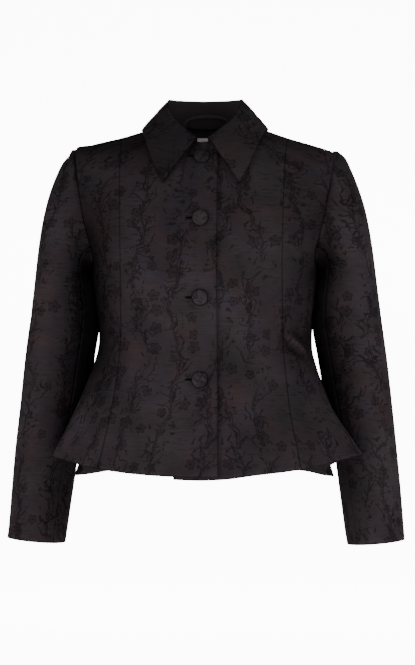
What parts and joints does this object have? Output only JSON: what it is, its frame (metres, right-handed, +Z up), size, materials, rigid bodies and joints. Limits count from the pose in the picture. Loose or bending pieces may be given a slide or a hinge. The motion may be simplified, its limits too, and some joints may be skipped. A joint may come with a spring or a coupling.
{
  "type": "brocade blazer",
  "caption": "Fitted women's brocade blazer with a pointed collar, princess seams, a flared peplum, long set-in sleeves and covered buttons, filled out as worn.",
  "frame": {"origin": "middle of the neck at the height of the shoulders, where the wearer's shoulders hold the blazer", "axes": "+Z up along the back, -Y the way the blazer faces, +X the wearer's left"},
  "size_m": [0.611, 0.3518, 0.689],
  "materials": {
    "brocade": "satin",
    "facing": "satin",
    "label": "matte"
  },
  "bodies": {
    "root": {"front_right": "brocade", "front_left": "brocade", "side_front_right": "brocade", "side_front_left": "brocade", "side_back_right": "brocade", "side_back_left": "brocade", "back_right": "brocade", "back_left": "brocade", "top_sleeve_right": "brocade", "top_sleeve_left": "brocade", "under_sleeve_right": "brocade", "under_sleeve_left": "brocade", "collar": "brocade", "button_1": "brocade", "button_2": "brocade", "button_3": "brocade", "button_4": "brocade", "back_neck_facing": "facing", "hanger_loop": "facing", "neck_label": "label"}
  },
  "joints": []
}
